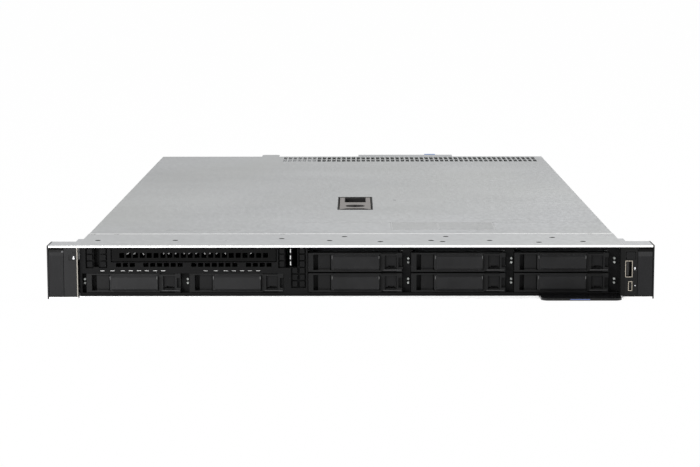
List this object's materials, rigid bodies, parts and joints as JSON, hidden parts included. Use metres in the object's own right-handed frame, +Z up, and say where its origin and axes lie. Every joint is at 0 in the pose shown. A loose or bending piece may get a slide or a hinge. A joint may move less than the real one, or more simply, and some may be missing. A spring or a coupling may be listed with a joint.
{
  "type": "rack server",
  "caption": "Low rack server: sliding drive carriers with hinged levers, pull-out tag, slam-latch ears, lift-off cover over fans and boards, and a pull-out power supply.",
  "frame": {"origin": "mid-width, on the underside, in the plane where the ears meet the front rack posts", "axes": "+X to the right seen from the front, +Y towards the rear, +Z up"},
  "size_m": [0.4826, 0.7565, 0.0428],
  "materials": {
    "galvanised_steel": "zinc-coated sheet",
    "black_plastic": "matt",
    "lever_plastic": "fine texture",
    "grey_plastic": "fine texture",
    "circuit_board": "solder mask",
    "bare_aluminium": "milled",
    "plated_shell": "nickel plate",
    "clear_pipe": "clear",
    "touch_blue": "matt",
    "tin_plate": "tin plate"
  },
  "bodies": {
    "chassis": {"chassis_base": "galvanised_steel", "rear_panel": "galvanised_steel", "front_top_panel": "galvanised_steel", "drive_cage": "galvanised_steel", "backplane": "circuit_board", "front_frame": "black_plastic", "light_pipes": "clear_pipe", "optical_blank": "black_plastic", "ear_bracket_left": "galvanised_steel", "ear_bracket_right": "galvanised_steel", "control_panel_left": "black_plastic", "control_panel_right": "black_plastic", "front_ports": "plated_shell", "fan_housings": "black_plastic", "motherboard": "circuit_board", "heatsinks": "bare_aluminium", "memory_modules": "circuit_board", "slot_covers": "galvanised_steel", "supply_blank": "galvanised_steel", "rear_ports": "plated_shell"},
    "cover": {"top_cover": "galvanised_steel", "cover_latch_frame": "black_plastic"},
    "cover_lever": {"cover_latch_lever": "grey_plastic"},
    "power_button": {"power_button": "grey_plastic"},
    "left_ear_latch": {"ear_latch_left": "black_plastic"},
    "right_ear_latch": {"ear_latch_right": "black_plastic"},
    "tag": {"info_tag": "black_plastic"},
    "supply": {"power_supply": "bare_aluminium"},
    "supply_latch": {"power_supply_latch": "touch_blue"},
    "retainer": {"slot_retainer": "tin_plate"},
    "rotor_1": {"fan_rotor_1": "black_plastic"},
    "rotor_2": {"fan_rotor_2": "black_plastic"},
    "rotor_3": {"fan_rotor_3": "black_plastic"},
    "rotor_4": {"fan_rotor_4": "black_plastic"},
    "rotor_5": {"fan_rotor_5": "black_plastic"},
    "rotor_6": {"fan_rotor_6": "black_plastic"},
    "carrier_1": {"drive_carrier_1": "black_plastic"},
    "lever_1": {"drive_lever_1": "lever_plastic"},
    "button_1": {"drive_button_1": "grey_plastic"},
    "carrier_2": {"drive_carrier_2": "black_plastic"},
    "lever_2": {"drive_lever_2": "lever_plastic"},
    "button_2": {"drive_button_2": "grey_plastic"},
    "carrier_3": {"drive_carrier_3": "black_plastic"},
    "lever_3": {"drive_lever_3": "lever_plastic"},
    "button_3": {"drive_button_3": "grey_plastic"},
    "carrier_4": {"drive_carrier_4": "black_plastic"},
    "lever_4": {"drive_lever_4": "lever_plastic"},
    "button_4": {"drive_button_4": "grey_plastic"},
    "carrier_5": {"drive_carrier_5": "black_plastic"},
    "lever_5": {"drive_lever_5": "lever_plastic"},
    "button_5": {"drive_button_5": "grey_plastic"},
    "carrier_6": {"drive_carrier_6": "black_plastic"},
    "lever_6": {"drive_lever_6": "lever_plastic"},
    "button_6": {"drive_button_6": "grey_plastic"},
    "carrier_7": {"drive_carrier_7": "black_plastic"},
    "lever_7": {"drive_lever_7": "lever_plastic"},
    "button_7": {"drive_button_7": "grey_plastic"},
    "carrier_8": {"drive_carrier_8": "black_plastic"},
    "lever_8": {"drive_lever_8": "lever_plastic"},
    "button_8": {"drive_button_8": "grey_plastic"}
  },
  "joints": [
    {"name": "cover_lift", "type": "slide", "parent": "chassis", "child": "cover", "axis": [0, 0, 1], "range_m": [0, 0.08]},
    {"name": "cover_lever_hinge", "type": "hinge", "parent": "cover", "child": "cover_lever", "pos_m": [0.0036, 0.207, 0.0408], "axis": [1, 0, 0], "range_deg": [0, 80]},
    {"name": "power_button_press", "type": "slide", "parent": "chassis", "child": "power_button", "axis": [0, 1, 0], "range_m": [0, 0.0018], "stiffness_N_per_m": 250},
    {"name": "left_ear_latch_hinge", "type": "hinge", "parent": "chassis", "child": "left_ear_latch", "pos_m": [-0.23405, -0.021, 0.038], "axis": [-1, 0, 0], "range_deg": [0, 35], "stiffness_Nm_per_rad": 0.04},
    {"name": "right_ear_latch_hinge", "type": "hinge", "parent": "chassis", "child": "right_ear_latch", "pos_m": [0.23405, -0.021, 0.038], "axis": [-1, 0, 0], "range_deg": [0, 35], "stiffness_Nm_per_rad": 0.04},
    {"name": "tag_slide", "type": "slide", "parent": "chassis", "child": "tag", "axis": [0, -1, 0], "range_m": [0, 0.06]},
    {"name": "supply_slide", "type": "slide", "parent": "chassis", "child": "supply", "axis": [0, 1, 0], "range_m": [0, 0.19]},
    {"name": "supply_latch_squeeze", "type": "slide", "parent": "supply", "child": "supply_latch", "axis": [1, 0, 0], "range_m": [0, 0.003], "stiffness_N_per_m": 400},
    {"name": "retainer_hinge", "type": "hinge", "parent": "chassis", "child": "retainer", "pos_m": [0.061, 0.6862, 0.0399], "axis": [1, 0, 0], "range_deg": [0, 85]},
    {"name": "rotor_1_spin", "type": "hinge", "parent": "chassis", "child": "rotor_1", "pos_m": [-0.175, 0.16, 0.0213], "axis": [0, 1, 0], "continuous": true},
    {"name": "rotor_2_spin", "type": "hinge", "parent": "chassis", "child": "rotor_2", "pos_m": [-0.105, 0.16, 0.0213], "axis": [0, 1, 0], "continuous": true},
    {"name": "rotor_3_spin", "type": "hinge", "parent": "chassis", "child": "rotor_3", "pos_m": [-0.035, 0.16, 0.0213], "axis": [0, 1, 0], "continuous": true},
    {"name": "rotor_4_spin", "type": "hinge", "parent": "chassis", "child": "rotor_4", "pos_m": [0.035, 0.16, 0.0213], "axis": [0, 1, 0], "continuous": true},
    {"name": "rotor_5_spin", "type": "hinge", "parent": "chassis", "child": "rotor_5", "pos_m": [0.105, 0.16, 0.0213], "axis": [0, 1, 0], "continuous": true},
    {"name": "rotor_6_spin", "type": "hinge", "parent": "chassis", "child": "rotor_6", "pos_m": [0.175, 0.16, 0.0213], "axis": [0, 1, 0], "continuous": true},
    {"name": "carrier_1_slide", "type": "slide", "parent": "chassis", "child": "carrier_1", "axis": [0, -1, 0], "range_m": [0, 0.12]},
    {"name": "lever_1_hinge", "type": "hinge", "parent": "carrier_1", "child": "lever_1", "pos_m": [-0.1911, -0.018, 0.0122], "axis": [0, 0, -1], "range_deg": [0, 55]},
    {"name": "button_1_press", "type": "slide", "parent": "carrier_1", "child": "button_1", "axis": [0, 1, 0], "range_m": [0, 0.0018], "stiffness_N_per_m": 200},
    {"name": "carrier_2_slide", "type": "slide", "parent": "chassis", "child": "carrier_2", "axis": [0, -1, 0], "range_m": [0, 0.12]},
    {"name": "lever_2_hinge", "type": "hinge", "parent": "carrier_2", "child": "lever_2", "pos_m": [-0.1089, -0.018, 0.0122], "axis": [0, 0, -1], "range_deg": [0, 55]},
    {"name": "button_2_press", "type": "slide", "parent": "carrier_2", "child": "button_2", "axis": [0, 1, 0], "range_m": [0, 0.0018], "stiffness_N_per_m": 200},
    {"name": "carrier_3_slide", "type": "slide", "parent": "chassis", "child": "carrier_3", "axis": [0, -1, 0], "range_m": [0, 0.12]},
    {"name": "lever_3_hinge", "type": "hinge", "parent": "carrier_3", "child": "lever_3", "pos_m": [-0.0143, -0.018, 0.0122], "axis": [0, 0, -1], "range_deg": [0, 55]},
    {"name": "button_3_press", "type": "slide", "parent": "carrier_3", "child": "button_3", "axis": [0, 1, 0], "range_m": [0, 0.0018], "stiffness_N_per_m": 200},
    {"name": "carrier_4_slide", "type": "slide", "parent": "chassis", "child": "carrier_4", "axis": [0, -1, 0], "range_m": [0, 0.12]},
    {"name": "lever_4_hinge", "type": "hinge", "parent": "carrier_4", "child": "lever_4", "pos_m": [-0.0143, -0.018, 0.0286], "axis": [0, 0, -1], "range_deg": [0, 55]},
    {"name": "button_4_press", "type": "slide", "parent": "carrier_4", "child": "button_4", "axis": [0, 1, 0], "range_m": [0, 0.0018], "stiffness_N_per_m": 200},
    {"name": "carrier_5_slide", "type": "slide", "parent": "chassis", "child": "carrier_5", "axis": [0, -1, 0], "range_m": [0, 0.12]},
    {"name": "lever_5_hinge", "type": "hinge", "parent": "carrier_5", "child": "lever_5", "pos_m": [0.0679, -0.018, 0.0122], "axis": [0, 0, -1], "range_deg": [0, 55]},
    {"name": "button_5_press", "type": "slide", "parent": "carrier_5", "child": "button_5", "axis": [0, 1, 0], "range_m": [0, 0.0018], "stiffness_N_per_m": 200},
    {"name": "carrier_6_slide", "type": "slide", "parent": "chassis", "child": "carrier_6", "axis": [0, -1, 0], "range_m": [0, 0.12]},
    {"name": "lever_6_hinge", "type": "hinge", "parent": "carrier_6", "child": "lever_6", "pos_m": [0.0679, -0.018, 0.0286], "axis": [0, 0, -1], "range_deg": [0, 55]},
    {"name": "button_6_press", "type": "slide", "parent": "carrier_6", "child": "button_6", "axis": [0, 1, 0], "range_m": [0, 0.0018], "stiffness_N_per_m": 200},
    {"name": "carrier_7_slide", "type": "slide", "parent": "chassis", "child": "carrier_7", "axis": [0, -1, 0], "range_m": [0, 0.12]},
    {"name": "lever_7_hinge", "type": "hinge", "parent": "carrier_7", "child": "lever_7", "pos_m": [0.1501, -0.018, 0.0122], "axis": [0, 0, -1], "range_deg": [0, 55]},
    {"name": "button_7_press", "type": "slide", "parent": "carrier_7", "child": "button_7", "axis": [0, 1, 0], "range_m": [0, 0.0018], "stiffness_N_per_m": 200},
    {"name": "carrier_8_slide", "type": "slide", "parent": "chassis", "child": "carrier_8", "axis": [0, -1, 0], "range_m": [0, 0.12]},
    {"name": "lever_8_hinge", "type": "hinge", "parent": "carrier_8", "child": "lever_8", "pos_m": [0.1501, -0.018, 0.0286], "axis": [0, 0, -1], "range_deg": [0, 55]},
    {"name": "button_8_press", "type": "slide", "parent": "carrier_8", "child": "button_8", "axis": [0, 1, 0], "range_m": [0, 0.0018], "stiffness_N_per_m": 200}
  ]
}
